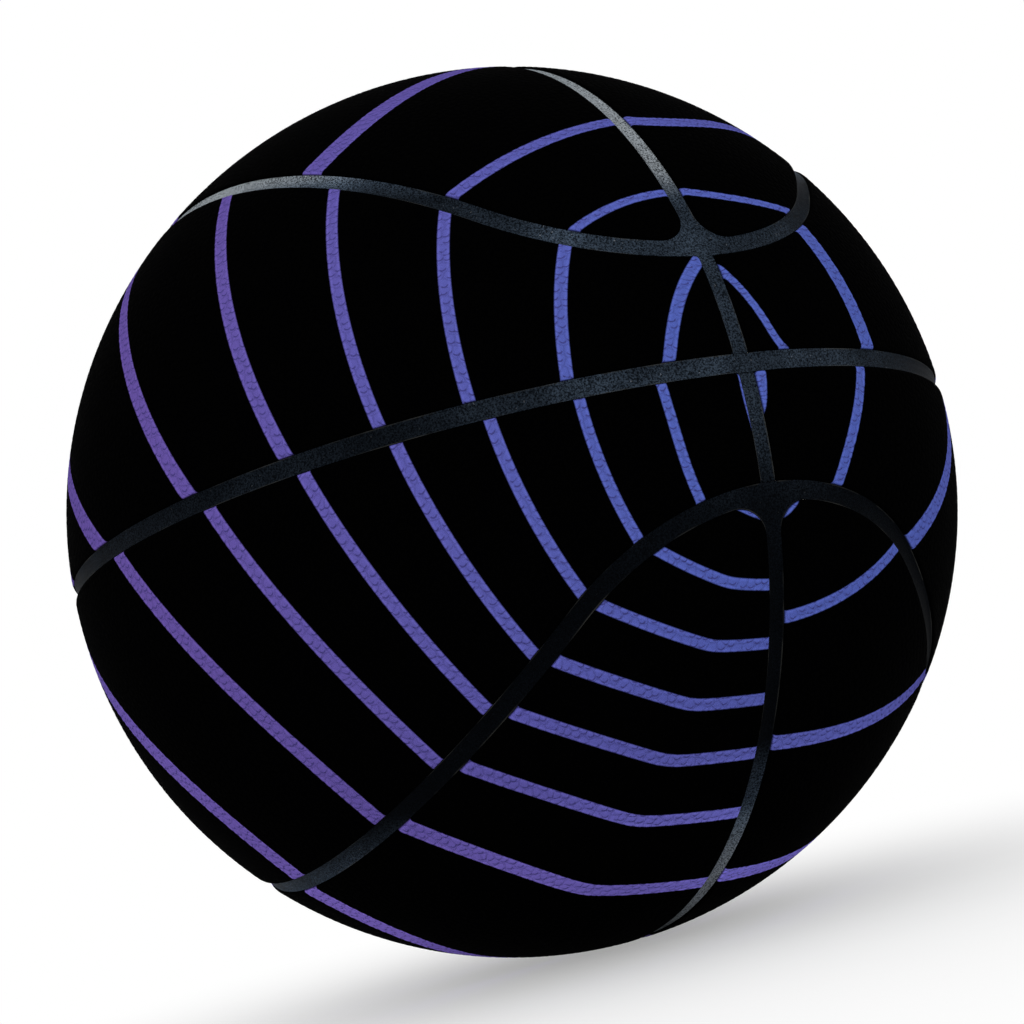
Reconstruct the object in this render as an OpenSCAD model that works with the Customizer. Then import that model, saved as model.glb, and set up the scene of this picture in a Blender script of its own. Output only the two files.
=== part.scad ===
// Full-size basketball, built in layers as the real one is: a bladder with its valve, a thread
// winding, a rubber carcass, and on the carcass eight cover panels on foam backings with channel
// strips laid between them.
//
// The origin is the ball's centre. The centre channel runs round the plane Z = 0 and the cross
// channel round the plane X = 0, so they cross at the front (-Y) and at the back (+Y). A loop
// channel lies above the centre channel and another below it. All seam walls point at the centre.

/* [Ball] */
// Outside diameter over the cover panels
ball_d = 240; // [200:1:250]

/* [Layers] */
// Thickness of a cover panel
cover_t = 1.5; // [1.2:0.1:2.4]
// Thickness of the foam backing under a cover panel
backing_t = 0.8; // [0.4:0.1:1.4]
// Thickness of the moulded rubber carcass
carcass_t = 1.2; // [0.8:0.1:2]
// Thickness of the layer of wound thread
winding_t = 0.5; // [0.3:0.1:1]
// Wall of the bladder
bladder_t = 0.8; // [0.5:0.1:1.5]

/* [Channels] */
// Width of the centre channel between cover panels
centre_channel_w = 4.4; // [3:0.1:6.3]
// Width of the loop channels between cover panels
loop_channel_w = 4.3; // [3:0.1:6.3]
// Width of the cross channel between cover panels
cross_channel_w = 4; // [3:0.1:6.3]
// Depth of every channel below the cover
channel_depth = 1.1; // [0.6:0.1:1.4]
// Glue line left round a channel strip, and between the valve's flange and the bladder
glue_gap = 0.1; // [0.05:0.01:0.2]
// Corner radius of a cap panel, where the cross channel runs out into a loop channel
cap_corner_r = 6.5; // [4:0.5:10]
// Corner radius of a band panel
band_corner_r = 1; // [0.6:0.1:2]

/* [Seam layout] */
// Angle of a loop's middle line above the centre channel, at the front and the back
loop_low_angle = 13.5; // [11:0.5:18]
// Angle of a loop's middle line above the centre channel, at the two sides
loop_high_angle = 45.3; // [38:0.1:52]

/* [Valve] */
// Angle of the valve from +X towards +Y
valve_azimuth = 52; // [35:1:60]
// Angle of the valve above the centre channel
valve_elevation = 12; // [9:1:15]
// Radius of the inflating needle's hole
needle_r = 1.2; // [1:0.05:1.4]
// Depth of the needle's hole, down to where the plug is closed
needle_depth = 10; // [8:0.5:12]
// Rubber wall of the plug around the needle's hole
plug_wall = 1.1; // [0.8:0.1:1.5]
// Closed rubber below the needle's hole
plug_end_wall = 3; // [2:0.5:5]
// Radius of the plug's bulb inside the housing
bulb_r = 3.8; // [3.6:0.1:5]
// Clearance between the plug and its housing
plug_gap = 0.05; // [0.02:0.01:0.1]
// Wall of the valve housing's neck
neck_wall = 1; // [0.7:0.1:1.5]
// Clearance around the neck in the layers that it passes through
neck_gap = 0.2; // [0.1:0.05:0.3]
// Depth of the valve's face below the cover
valve_recess = 0.5; // [0.2:0.1:0.9]
// Wall of the housing around the bulb
housing_wall = 1.6; // [1:0.1:2.5]
// Radius of the housing's flange, bonded to the inside of the bladder
flange_r = 14; // [10:0.5:20]
// Thickness of the housing's flange
flange_t = 1; // [0.6:0.1:1.5]

/* [Hidden] */
$fn = 128;

// Outer radius of each layer, and of the channel strips
ball_r = ball_d / 2;
backing_r = ball_r - cover_t;
carcass_r = backing_r - backing_t;
winding_r = carcass_r - carcass_t;
bladder_r = winding_r - winding_t;
air_r = bladder_r - bladder_t;
strip_r = ball_r - channel_depth;

// Cutting bodies start well inside the air space and end outside the cover.
overrun = 2;
cutter_near_share = 0.5;
cutter_near_r = air_r * cutter_near_share;
cutter_far_r = ball_r + overrun;
// A rounding circle is this much larger than the one that just touches both edges, so its wall
// crosses theirs instead of grazing it.
rounding_share = 1.001;

// Half widths of the channels, and the glue line, as angles at the ball's centre
centre_half = asin(centre_channel_w / 2 / ball_r);
loop_half = asin(loop_channel_w / 2 / ball_r);
cross_half = asin(cross_channel_w / 2 / ball_r);
glue_angle = asin(glue_gap / carcass_r);

// Each side of a loop is a great circle through the front and the back. Each tip is an arc of the
// circle that touches both sides, and tip_reach is the arc's half angle, seen from its centre.
side_slope = cos(loop_high_angle);
tip_angle = atan(side_slope * sin(loop_low_angle) / (1 - side_slope * cos(loop_low_angle)));
tip_elevation = loop_low_angle + tip_angle;
tip_reach = atan2(sin(loop_high_angle), side_slope * cos(tip_elevation));

// Directions from the ball's centre
to_right = [1, 0, 0];
to_top = [0, 0, 1];
to_loop_side = [-sin(loop_high_angle), 0, cos(loop_high_angle)];
to_tip = direction(-90, tip_elevation);
to_valve = direction(valve_azimuth, valve_elevation);

// Circles that round the panels' front corners, as angles and as directions to their centres
cap_corner_angle = asin(cap_corner_r / ball_r);
band_corner_angle = asin(band_corner_r / ball_r);
to_cap_corner = beside_cross_channel(
    cap_corner_angle,
    tip_elevation - tip_side(tip_angle - loop_half - cap_corner_angle, cap_corner_angle)
);
to_high_corner = beside_cross_channel(
    band_corner_angle,
    tip_elevation - tip_side(tip_angle + loop_half + band_corner_angle, band_corner_angle)
);
to_low_corner = beside_cross_channel(
    band_corner_angle,
    asin(sin(centre_half + band_corner_angle) / cos(cross_half + band_corner_angle))
);

// Heights and radii of the valve, along its own axis from the ball's centre
valve_face_h = ball_r - valve_recess;
needle_end_h = valve_face_h - needle_depth;
plug_r = needle_r + plug_wall;
neck_bore_r = plug_r + plug_gap;
neck_r = neck_bore_r + neck_wall;
valve_hole_r = neck_r + neck_gap;
flange_top_r = air_r - glue_gap;
flange_low_r = flange_top_r - flange_t;
flange_middle_r = (flange_top_r + flange_low_r) / 2;
bulb_top_h = flange_low_r - housing_wall;
bulb_low_h = min(needle_end_h, bulb_top_h) - plug_end_wall;
cavity_r = bulb_r + plug_gap;
cavity_low_h = bulb_low_h - plug_gap;
housing_r = cavity_r + housing_wall;
housing_low_h = cavity_low_h - housing_wall;

// Colours
cover_colour = "#101012";
strip_colour = "#3c4348";
backing_colour = "#d8d2c4";
carcass_colour = "#1c1c1f";
winding_colour = "#e6e3da";
bladder_colour = "#27272b";
housing_colour = "#2d2d31";
plug_colour = "#4a4a50";

// Unit vector at an azimuth from +X and an elevation above the centre channel
function direction(azimuth, elevation) =
    [cos(elevation) * cos(azimuth), cos(elevation) * sin(azimuth), sin(elevation)];
function azimuth_of(v) = atan2(v.y, v.x);
function elevation_of(v) = atan2(v.z, norm([v.x, v.y]));

// Direction to the centre of a circle that touches the cross channel's right edge at the front
function beside_cross_channel(circle_angle, elevation) = [
    sin(cross_half + circle_angle),
    -cos(cross_half + circle_angle) * cos(elevation),
    cos(cross_half + circle_angle) * sin(elevation)
];
// How far below the tip arc's centre such a circle lies, where their centres are distance apart
function tip_side(distance, circle_angle) = acos(cos(distance) / cos(cross_half + circle_angle));

// Bearing of target seen from place: 0 points down and 90 points round towards greater azimuth
function bearing(place, target) = atan2(
    target * direction(azimuth_of(place) + 90, 0),
    target * direction(azimuth_of(place), elevation_of(place) - 90)
);

// Turns +Z to v, and +X to v's bearing of 0.
module aim(v) {
    rotate([0, 90 - elevation_of(v), azimuth_of(v)])
        children();
}

module upside_down() {
    mirror([0, 0, 1])
        children();
}

module left_hand() {
    mirror([1, 0, 0])
        children();
}

module back_to_front() {
    mirror([0, 1, 0])
        children();
}

// Hollow ball
module layer(outer_r, inner_r) {
    difference() {
        sphere(r = outer_r);
        sphere(r = inner_r);
    }
}

// Everything less than 90 degrees and an extra angle from +Z
module dish(extra) {
    rotate_extrude()
        polygon([
            [0, cutter_near_r],
            [cutter_near_r * cos(extra), -cutter_near_r * sin(extra)],
            [cutter_far_r, -cutter_far_r * tan(extra)],
            [cutter_far_r, cutter_far_r],
            [0, cutter_far_r]
        ]);
}

// Everything less than an angle from +Z
module cone(angle) {
    translate([0, 0, cutter_near_r])
        cylinder(
            h = cutter_far_r - cutter_near_r,
            r1 = cutter_near_r * tan(angle),
            r2 = cutter_far_r * tan(angle)
        );
}

// Everything less than an angle from the plane Z = 0
module belt(angle) {
    rotate_extrude()
        polygon([
            [cutter_near_r, -cutter_near_r * tan(angle)],
            [cutter_far_r, -cutter_far_r * tan(angle)],
            [cutter_far_r, cutter_far_r * tan(angle)],
            [cutter_near_r, cutter_near_r * tan(angle)]
        ]);
}

// Slice of space round +Z, between two bearings
module slice(from_bearing, to_bearing) {
    reach = 2 * cutter_far_r;
    middle = (from_bearing + to_bearing) / 2;
    translate([0, 0, cutter_near_r])
        linear_extrude(height = cutter_far_r - cutter_near_r)
            polygon([
                [0, 0],
                reach * [cos(from_bearing), sin(from_bearing)],
                reach * [cos(middle), sin(middle)],
                reach * [cos(to_bearing), sin(to_bearing)]
            ]);
}

// What a rounding circle takes off a corner. The circle meets the corner's edges on its bearings
// of edge_1 and edge_2.
module corner_cutter(centre, angle, edge_1, edge_2) {
    from_bearing = bearing(centre, edge_1);
    turn = (bearing(centre, edge_2) - from_bearing + 540) % 360 - 180;
    aim(centre)
        difference() {
            slice(from_bearing, from_bearing + turn);
            cone(angle * rounding_share);
        }
}

// What is cut off round the front tip of a loop whose edge is moved outwards by an angle
module tip_cutter(edge) {
    aim(to_tip)
        difference() {
            slice(-tip_reach, tip_reach);
            cone((tip_angle + edge) * rounding_share);
        }
}

// What lies inside the right side and the tips of the upper loop
module loop_side(edge) {
    difference() {
        aim(to_loop_side)
            dish(edge);
        tip_cutter(edge);
        back_to_front()
            tip_cutter(edge);
    }
}

// Upper right cap panel or backing, its edges moved outwards by an angle
module cap(outer_r, inner_r, edge = 0) {
    difference() {
        intersection() {
            layer(outer_r, inner_r);
            loop_side(edge - loop_half);
            aim(to_right)
                dish(edge - cross_half);
        }
        corner_cutter(to_cap_corner, cap_corner_angle + edge, -to_tip, -to_right);
        back_to_front()
            corner_cutter(to_cap_corner, cap_corner_angle + edge, -to_tip, -to_right);
    }
}

module band_corner_cutters() {
    corner_cutter(to_high_corner, band_corner_angle, to_tip, -to_right);
    corner_cutter(to_low_corner, band_corner_angle, -to_top, -to_right);
}

// Upper right band panel or backing
module band(outer_r, inner_r) {
    intersection() {
        difference() {
            intersection() {
                layer(outer_r, inner_r);
                dish(-centre_half);
            }
            loop_side(loop_half);
            band_corner_cutters();
            back_to_front()
                band_corner_cutters();
        }
        aim(to_right)
            dish(-cross_half);
    }
}

module valve_hole() {
    aim(to_valve)
        translate([0, 0, cutter_near_r])
            cylinder(h = cutter_far_r - cutter_near_r, r = valve_hole_r);
}

// Upper right band panel or backing, with the hole that the valve's neck stands in
module valve_band(outer_r, inner_r) {
    difference() {
        band(outer_r, inner_r);
        valve_hole();
    }
}

// One moulded strip: the upper loop and the part of the cross channel inside it
module loop_channel() {
    difference() {
        intersection() {
            layer(strip_r, carcass_r);
            loop_side(loop_half - glue_angle);
            left_hand()
                aim(to_loop_side)
                    dish(loop_half - glue_angle);
        }
        cap(ball_r, winding_r, glue_angle);
        left_hand()
            cap(ball_r, winding_r, glue_angle);
    }
}

// Straight piece of the cross channel at the front, from the centre channel up to the loop
module bridge() {
    width = cross_channel_w * carcass_r / ball_r - 2 * glue_gap;
    difference() {
        intersection() {
            layer(strip_r, carcass_r);
            translate([-width / 2, -cutter_far_r, centre_channel_w / 2])
                cube([width, cutter_far_r, cutter_far_r * sin(loop_low_angle)]);
        }
        aim(to_tip)
            cone(tip_angle + loop_half);
    }
}

// Sub-parts, from the inside out

module bladder() {
    color(bladder_colour)
        difference() {
            layer(bladder_r, air_r);
            valve_hole();
        }
}

module valve_housing() {
    color(housing_colour)
        difference() {
            union() {
                intersection() {
                    layer(flange_top_r, flange_low_r);
                    aim(to_valve)
                        cylinder(h = ball_r, r = flange_r);
                }
                aim(to_valve) {
                    translate([0, 0, housing_low_h])
                        cylinder(h = flange_middle_r - housing_low_h, r = housing_r);
                    translate([0, 0, flange_middle_r])
                        cylinder(h = valve_face_h - flange_middle_r, r = neck_r);
                }
            }
            aim(to_valve) {
                translate([0, 0, cavity_low_h])
                    cylinder(h = bulb_top_h + plug_gap - cavity_low_h, r = cavity_r);
                translate([0, 0, bulb_top_h])
                    cylinder(h = cutter_far_r - bulb_top_h, r = neck_bore_r);
                translate([0, 0, housing_low_h - overrun])
                    cylinder(h = housing_wall + 2 * overrun, r = needle_r);
            }
        }
}

module valve_plug() {
    color(plug_colour)
        aim(to_valve)
            difference() {
                union() {
                    translate([0, 0, bulb_low_h])
                        cylinder(h = bulb_top_h - bulb_low_h, r = bulb_r);
                    translate([0, 0, bulb_low_h])
                        cylinder(h = valve_face_h - bulb_low_h, r = plug_r);
                }
                translate([0, 0, needle_end_h])
                    cylinder(h = needle_depth + overrun, r = needle_r);
            }
}

module thread_winding() {
    color(winding_colour)
        difference() {
            layer(winding_r, bladder_r);
            valve_hole();
        }
}

module carcass() {
    color(carcass_colour)
        difference() {
            layer(carcass_r, winding_r);
            valve_hole();
        }
}

module upper_right_cap_panel() {
    color(cover_colour)
        cap(ball_r, backing_r);
}

module upper_left_cap_panel() {
    left_hand()
        upper_right_cap_panel();
}

module lower_right_cap_panel() {
    upside_down()
        upper_right_cap_panel();
}

module lower_left_cap_panel() {
    upside_down()
        upper_left_cap_panel();
}

module upper_right_band_panel() {
    color(cover_colour)
        valve_band(ball_r, backing_r);
}

module upper_left_band_panel() {
    color(cover_colour)
        left_hand()
            band(ball_r, backing_r);
}

module lower_right_band_panel() {
    color(cover_colour)
        upside_down()
            band(ball_r, backing_r);
}

module lower_left_band_panel() {
    upside_down()
        upper_left_band_panel();
}

module upper_right_cap_backing() {
    color(backing_colour)
        cap(backing_r, carcass_r);
}

module upper_left_cap_backing() {
    left_hand()
        upper_right_cap_backing();
}

module lower_right_cap_backing() {
    upside_down()
        upper_right_cap_backing();
}

module lower_left_cap_backing() {
    upside_down()
        upper_left_cap_backing();
}

module upper_right_band_backing() {
    color(backing_colour)
        valve_band(backing_r, carcass_r);
}

module upper_left_band_backing() {
    color(backing_colour)
        left_hand()
            band(backing_r, carcass_r);
}

module lower_right_band_backing() {
    color(backing_colour)
        upside_down()
            band(backing_r, carcass_r);
}

module lower_left_band_backing() {
    upside_down()
        upper_left_band_backing();
}

module centre_channel() {
    color(strip_colour)
        intersection() {
            layer(strip_r, carcass_r);
            belt(centre_half - glue_angle);
        }
}

module upper_loop_channel() {
    color(strip_colour)
        loop_channel();
}

module lower_loop_channel() {
    upside_down()
        upper_loop_channel();
}

module upper_front_bridge() {
    color(strip_colour)
        bridge();
}

module lower_front_bridge() {
    upside_down()
        upper_front_bridge();
}

module upper_back_bridge() {
    back_to_front()
        upper_front_bridge();
}

module lower_back_bridge() {
    upside_down()
        upper_back_bridge();
}

bladder();
valve_housing();
valve_plug();
thread_winding();
carcass();

upper_left_cap_panel();
upper_right_cap_panel();
lower_left_cap_panel();
lower_right_cap_panel();
upper_left_band_panel();
upper_right_band_panel();
lower_left_band_panel();
lower_right_band_panel();

upper_left_cap_backing();
upper_right_cap_backing();
lower_left_cap_backing();
lower_right_cap_backing();
upper_left_band_backing();
upper_right_band_backing();
lower_left_band_backing();
lower_right_band_backing();

centre_channel();
upper_loop_channel();
lower_loop_channel();
upper_front_bridge();
lower_front_bridge();
upper_back_bridge();
lower_back_bridge();
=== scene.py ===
import math

import bpy
import numpy as np
from bpy.props import FloatProperty, FloatVectorProperty, PointerProperty
from mathutils import Matrix, Vector


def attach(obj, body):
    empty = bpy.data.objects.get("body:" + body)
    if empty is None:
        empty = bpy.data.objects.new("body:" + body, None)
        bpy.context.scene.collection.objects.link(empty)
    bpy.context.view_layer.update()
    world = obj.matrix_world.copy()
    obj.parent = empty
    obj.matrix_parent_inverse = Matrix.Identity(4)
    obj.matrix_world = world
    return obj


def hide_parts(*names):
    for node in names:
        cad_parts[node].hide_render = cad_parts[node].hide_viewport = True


bl_info = {
    "name": "Basketball",
    "version": (1, 0, 0),
    "blender": (4, 5, 0),
    "location": "3D View > Sidebar > Basketball",
    "description": "Pebbled cover panels with ring stripes, channel strips, valve and stage for a full-size ball",
    "category": "Mesh",
}

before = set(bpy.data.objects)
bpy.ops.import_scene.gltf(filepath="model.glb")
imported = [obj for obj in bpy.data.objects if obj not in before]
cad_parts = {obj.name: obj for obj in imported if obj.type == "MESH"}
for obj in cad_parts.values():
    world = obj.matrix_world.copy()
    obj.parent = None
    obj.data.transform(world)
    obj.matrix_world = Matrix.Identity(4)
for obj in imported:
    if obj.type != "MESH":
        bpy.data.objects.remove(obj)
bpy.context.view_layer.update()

SIDES = [(x, z) for z in (1, -1) for x in (-1, 1)]
TO_RIGHT, TO_LEFT = np.array([1.0, 0, 0]), np.array([-1.0, 0, 0])
TO_TOP, TO_BOTTOM = np.array([0, 0, 1.0]), np.array([0, 0, -1.0])


def side_name(x, z):
    return ("upper_" if z > 0 else "lower_") + ("left" if x < 0 else "right")


# Settings

def length(name, description, value):
    return FloatProperty(name=name, description=description, default=value, unit="LENGTH")


def angle(name, description, degrees):
    return FloatProperty(name=name, description=description, default=math.radians(degrees), subtype="ANGLE")


def colour(name, description, value):
    return FloatVectorProperty(name=name, description=description, default=value, subtype="COLOR", size=3,
                               min=0, max=1)


class BallSizes(bpy.types.PropertyGroup):
    ball: length("Ball radius", "Nominal outer radius, which the seam angles refer to", 0.12)
    cover: length("Cover radius", "Radius over the tops of the pebbles", 0.11988)
    backing: length("Backing radius", "Radius on which a panel's inner face lies", 0.1185)
    carcass: length("Carcass radius", "Radius on which the channel strips lie", 0.1177)
    strip: length("Strip radius", "Radius over the channel strips", 0.1189)
    strip_rim: length("Strip rim", "Radius to which the strips' edges rise beside the panels", 0.11935)
    strip_curve: length("Strip curve", "Width in which a strip's edge rises to its rim", 0.0016)
    edge_drop: length("Edge drop", "How far a panel's edge is rolled down at a channel", 0.00055)
    edge_roll: length("Edge roll", "Width of a panel's rolled edge", 0.0011)
    pebble_pitch: length("Pebble pitch", "Mean distance between two pebbles", 0.0021)
    pebble_height: length("Pebble height", "Height of a pebble over the valleys round it", 0.0001)


class SeamAngles(bpy.types.PropertyGroup):
    centre_w: length("Centre channel width", "Width between the cover panels", 0.0044)
    loop_w: length("Loop channel width", "Width between the cover panels", 0.0043)
    cross_w: length("Cross channel width", "Width between the cover panels", 0.004)
    glue: length("Glue line", "Gap between a strip and a panel", 0.0001)
    cap_corner: length("Cap corner radius", "Rounding of a cap panel's corners", 0.0065)
    band_corner: length("Band corner radius", "Rounding of a band panel's corners", 0.001)
    loop_low: angle("Loop at the front", "Angle of a loop above the centre channel at the front", 13.5)
    loop_high: angle("Loop at the side", "Angle of a loop above the centre channel at the sides", 45.3)


class ValveSizes(bpy.types.PropertyGroup):
    azimuth: angle("Azimuth", "Angle of the valve from +X towards +Y", 52)
    elevation: angle("Elevation", "Angle of the valve above the centre channel", 12)
    hole_r: length("Hole radius", "Radius of the cover's hole for the valve", 0.00355)
    neck_r: length("Neck radius", "Outer radius of the housing's neck", 0.00335)
    plug_r: length("Plug radius", "Radius of the plug in the neck", 0.0023)
    needle_r: length("Needle hole radius", "Radius of the hole for the inflating needle", 0.0012)
    face: length("Face height", "Height of the valve's face from the ball's centre", 0.1195)
    lip: length("Lip rounding", "Rounding of the rubber's edges round the holes", 0.00022)


class Finish(bpy.types.PropertyGroup):
    cover: colour("Cover", "Black of the pebbled cover", (0.0003, 0.0003, 0.00035))
    stripe_near: colour("Stripe, middle", "Stripe colour at the rings' middle", (0.065, 0.097, 0.365))
    stripe_far: colour("Stripe, far", "Stripe colour far from the rings' middle", (0.110, 0.069, 0.290))
    strip: colour("Channel rubber", "Dark grey of the channel strips", (0.0005, 0.0007, 0.0011))
    strip_dots: colour("Channel dots", "Grey of the dots on the channel strips", (0.0016, 0.0022, 0.0034))
    # The next two colours are the channels' speckle of dust and painted sheen: the first where it is faint, the
    # second where it is full.
    film: colour("Faint dust and sheen", "Colour of the faint speckle of dust and painted sheen in the channels", (0.08, 0.115, 0.165))
    dust_and_sheen: colour("Dust And Sheen", "Colour of the full speckle of dust and painted sheen in the channels", (0.25, 0.277, 0.3))
    valve: colour("Valve rubber", "Colour of the valve", (0.022, 0.022, 0.025))


class Rings(bpy.types.PropertyGroup):
    azimuth: angle("Middle, sideways", "Where the rings' middle lies, to the right of the front", 0.6)
    elevation: angle("Middle, upwards", "Where the rings' middle lies, above the centre channel", -3.4)
    bluest: angle("Bluest point", "Where the stripes are bluest, to the right of the front", 8.6)


class BallSettings(bpy.types.PropertyGroup):
    sizes: PointerProperty(type=BallSizes)
    seams: PointerProperty(type=SeamAngles)
    valve: PointerProperty(type=ValveSizes)
    finish: PointerProperty(type=Finish)
    rings: PointerProperty(type=Rings)


def settings():
    return bpy.context.scene.basketball


# Directions and distances on the ball

def direction(azimuth, elevation):
    return np.array([math.cos(elevation) * math.cos(azimuth), math.cos(elevation) * math.sin(azimuth),
                     math.sin(elevation)])


def arc(d, n):
    """Angle between each direction of d and the direction n."""
    return np.arccos(np.clip(d @ n, -1, 1))


def bearing(place, d):
    """Bearing of each direction of d seen from place: 0 points down."""
    azimuth, elevation = math.atan2(place[1], place[0]), math.asin(max(-1.0, min(1.0, place[2])))
    return np.arctan2(d @ direction(azimuth + math.pi / 2, 0), d @ direction(azimuth, elevation - math.pi / 2))


def smooth(t):
    """Smooth step of a share from 0 to 1."""
    return t * t * (3 - 2 * t)


def at_front(d):
    """The directions, with those at the back mirrored to the front."""
    return d * (1, -1, 1) * np.where(d[:, 1:2] > 0, 1, (1, -1, 1))


class Seams:
    """The channels' layout, as the CAD part has it: circles on the ball, given by a direction and an angle."""

    def __init__(self):
        s, ball = settings().seams, settings().sizes.ball
        self.centre = math.asin(s.centre_w / 2 / ball)
        self.loop = math.asin(s.loop_w / 2 / ball)
        self.cross = math.asin(s.cross_w / 2 / ball)
        self.glue = math.asin(s.glue / settings().sizes.carcass)
        slope = math.cos(s.loop_high)
        self.tip = math.atan(slope * math.sin(s.loop_low) / (1 - slope * math.cos(s.loop_low)))
        elevation = s.loop_low + self.tip
        self.reach = math.atan2(math.sin(s.loop_high), slope * math.cos(elevation))
        self.to_side = np.array([-math.sin(s.loop_high), 0, math.cos(s.loop_high)])
        self.to_tip = direction(-math.pi / 2, elevation)
        self.cap_r = math.asin(s.cap_corner / ball)
        self.band_r = math.asin(s.band_corner / ball)
        cap_drop = self.tip_side(self.tip - self.loop - self.cap_r, self.cap_r)
        high_drop = self.tip_side(self.tip + self.loop + self.band_r, self.band_r)
        low_rise = math.asin(math.sin(self.centre + self.band_r) / math.cos(self.cross + self.band_r))
        self.cap_at = self.beside_cross(self.cap_r, elevation - cap_drop)
        self.high_at = self.beside_cross(self.band_r, elevation - high_drop)
        self.low_at = self.beside_cross(self.band_r, low_rise)
        v = settings().valve
        self.to_valve = direction(v.azimuth, v.elevation)
        self.valve = math.asin(v.hole_r / ball)

    def beside_cross(self, r, elevation):
        """Middle of a corner's circle that touches the cross channel's edge."""
        a = self.cross + r
        return np.array([math.sin(a), -math.cos(a) * math.cos(elevation), math.cos(a) * math.sin(elevation)])

    def tip_side(self, distance, r):
        """How far below the loop's tip such a circle lies, at a distance from the tip's middle."""
        return math.acos(math.cos(distance) / math.cos(self.cross + r))

    def inside_loop(self, d, edge):
        """How far each direction lies inside the loop's edge, which is moved outwards by an angle."""
        side = math.pi / 2 + edge - arc(d, self.to_side)
        tip = self.tip + edge - arc(d, self.to_tip)
        return np.where(np.abs(bearing(self.to_tip, d)) < self.reach, tip, side)

    def rounding(self, d, at, r, edge_1, edge_2):
        """How far each direction in a corner's wedge lies inside the corner's circle."""
        start = float(bearing(at, edge_1[None])[0])
        turn = (float(bearing(at, edge_2[None])[0]) - start + 3 * math.pi) % (2 * math.pi) - math.pi
        b = (bearing(at, d) - start) * (1 if turn > 0 else -1) % (2 * math.pi)
        return np.where(b < abs(turn), r - arc(d, at), np.inf)

    def cap(self, d, edge=0.0):
        """Distance inside an upper right cap panel, as an angle."""
        q = at_front(d)
        return np.minimum.reduce([
            self.inside_loop(q, edge - self.loop),
            math.pi / 2 + edge - self.cross - arc(q, TO_RIGHT),
            self.rounding(q, self.cap_at, self.cap_r + edge, -self.to_tip, TO_LEFT)])

    def band(self, d):
        """Distance inside an upper right band panel, as an angle."""
        q = at_front(d)
        return np.minimum.reduce([
            -self.inside_loop(q, self.loop),
            math.pi / 2 - self.centre - arc(q, TO_TOP),
            math.pi / 2 - self.cross - arc(q, TO_RIGHT),
            self.rounding(q, self.high_at, self.band_r, self.to_tip, TO_LEFT),
            self.rounding(q, self.low_at, self.band_r, TO_BOTTOM, TO_LEFT)])

    def valve_band(self, d):
        """Distance inside the band panel that has the valve's hole."""
        return np.minimum(self.band(d), arc(d, self.to_valve) - self.valve)

    def loop_strip(self, d):
        """Distance inside the upper loop's strip and the part of the cross channel within it."""
        q = np.abs(d) * (1, -1, 1)
        strip = np.minimum(self.inside_loop(q, self.loop - self.glue), -self.cap(q, self.glue))
        return np.where(d[:, 2] > 0, strip, -1)

    def both_ends(self, circles):
        """The circles, and their copies at the back."""
        flip = np.array([1, -1, 1])
        return circles + [(n * flip, a) for n, a in circles if abs(n[1]) > 1e-6]

    def cap_circles(self):
        return self.both_ends([
            (self.to_side, math.pi / 2 - self.loop),
            (self.to_tip, self.tip - self.loop),
            (TO_RIGHT, math.pi / 2 - self.cross),
            (self.cap_at, self.cap_r)])

    def band_circles(self):
        return self.both_ends([
            (self.to_side, math.pi / 2 + self.loop),
            (self.to_tip, self.tip + self.loop),
            (TO_TOP, math.pi / 2 - self.centre),
            (TO_RIGHT, math.pi / 2 - self.cross),
            (self.high_at, self.band_r),
            (self.low_at, self.band_r)])

    def loop_circles(self):
        edge, inner = self.loop - self.glue, self.glue - self.loop
        half = [
            (self.to_side, math.pi / 2 + edge),
            (self.to_side, math.pi / 2 + inner),
            (TO_RIGHT, math.pi / 2 - self.cross + self.glue),
            (self.cap_at, self.cap_r + self.glue)]
        mirror = np.array([-1, 1, 1])
        both = half + [(n * mirror, a) for n, a in half]
        return self.both_ends(both + [(self.to_tip, self.tip + edge), (self.to_tip, self.tip + inner)])


# Mesh work

def read(items, field, kind=float, width=1):
    """A field of all of a mesh's points, edges, faces or corners, as an array."""
    values = np.empty(len(items) * width, kind)
    items.foreach_get(field, values)
    return values.reshape(-1, width) if width > 1 else values


def coordinates(obj):
    return read(obj.data.vertices, "co", width=3)


def face_centres(obj):
    return read(obj.data.polygons, "center", width=3)


def edge_ends(obj):
    return read(obj.data.edges, "vertices", int, 2)


def place(obj, co):
    obj.data.vertices.foreach_set("co", np.ascontiguousarray(co, dtype=np.float32).ravel())
    obj.data.update()


def unit(co):
    return co / np.linalg.norm(co, axis=1)[:, None]


def deselect():
    if bpy.context.mode != "OBJECT":
        bpy.ops.object.mode_set(mode="OBJECT")
    bpy.ops.object.select_all(action="DESELECT")


def activate(obj):
    deselect()
    obj.select_set(True)
    bpy.context.view_layer.objects.active = obj


def named(name):
    """The object that an operator has just made, named like its mesh."""
    obj = bpy.context.object
    obj.name = obj.data.name = name
    return obj


def in_scene(name, data):
    """A new object of the scene with the data."""
    obj = bpy.data.objects.new(name, data)
    bpy.context.scene.collection.objects.link(obj)
    return obj


def edit_faces(obj, chosen=True):
    """Opens obj in edit mode with only the chosen faces selected, or with all of them."""
    activate(obj)
    me = obj.data
    me.vertices.foreach_set("select", np.zeros(len(me.vertices), bool))
    me.edges.foreach_set("select", np.zeros(len(me.edges), bool))
    chosen = np.broadcast_to(chosen, len(me.polygons))
    me.polygons.foreach_set("select", np.ascontiguousarray(chosen, dtype=bool))
    bpy.context.tool_settings.mesh_select_mode = (False, False, True)
    bpy.ops.object.mode_set(mode="EDIT")


def leave_edit():
    bpy.ops.object.mode_set(mode="OBJECT")


# The sphere that the patches are cut from, and how far beyond its edge a patch is kept until it is cut.
SPHERE_SUBDIVISIONS, SPHERE_CUTS, KEPT_BEYOND = 3, 6, 0.006
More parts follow.
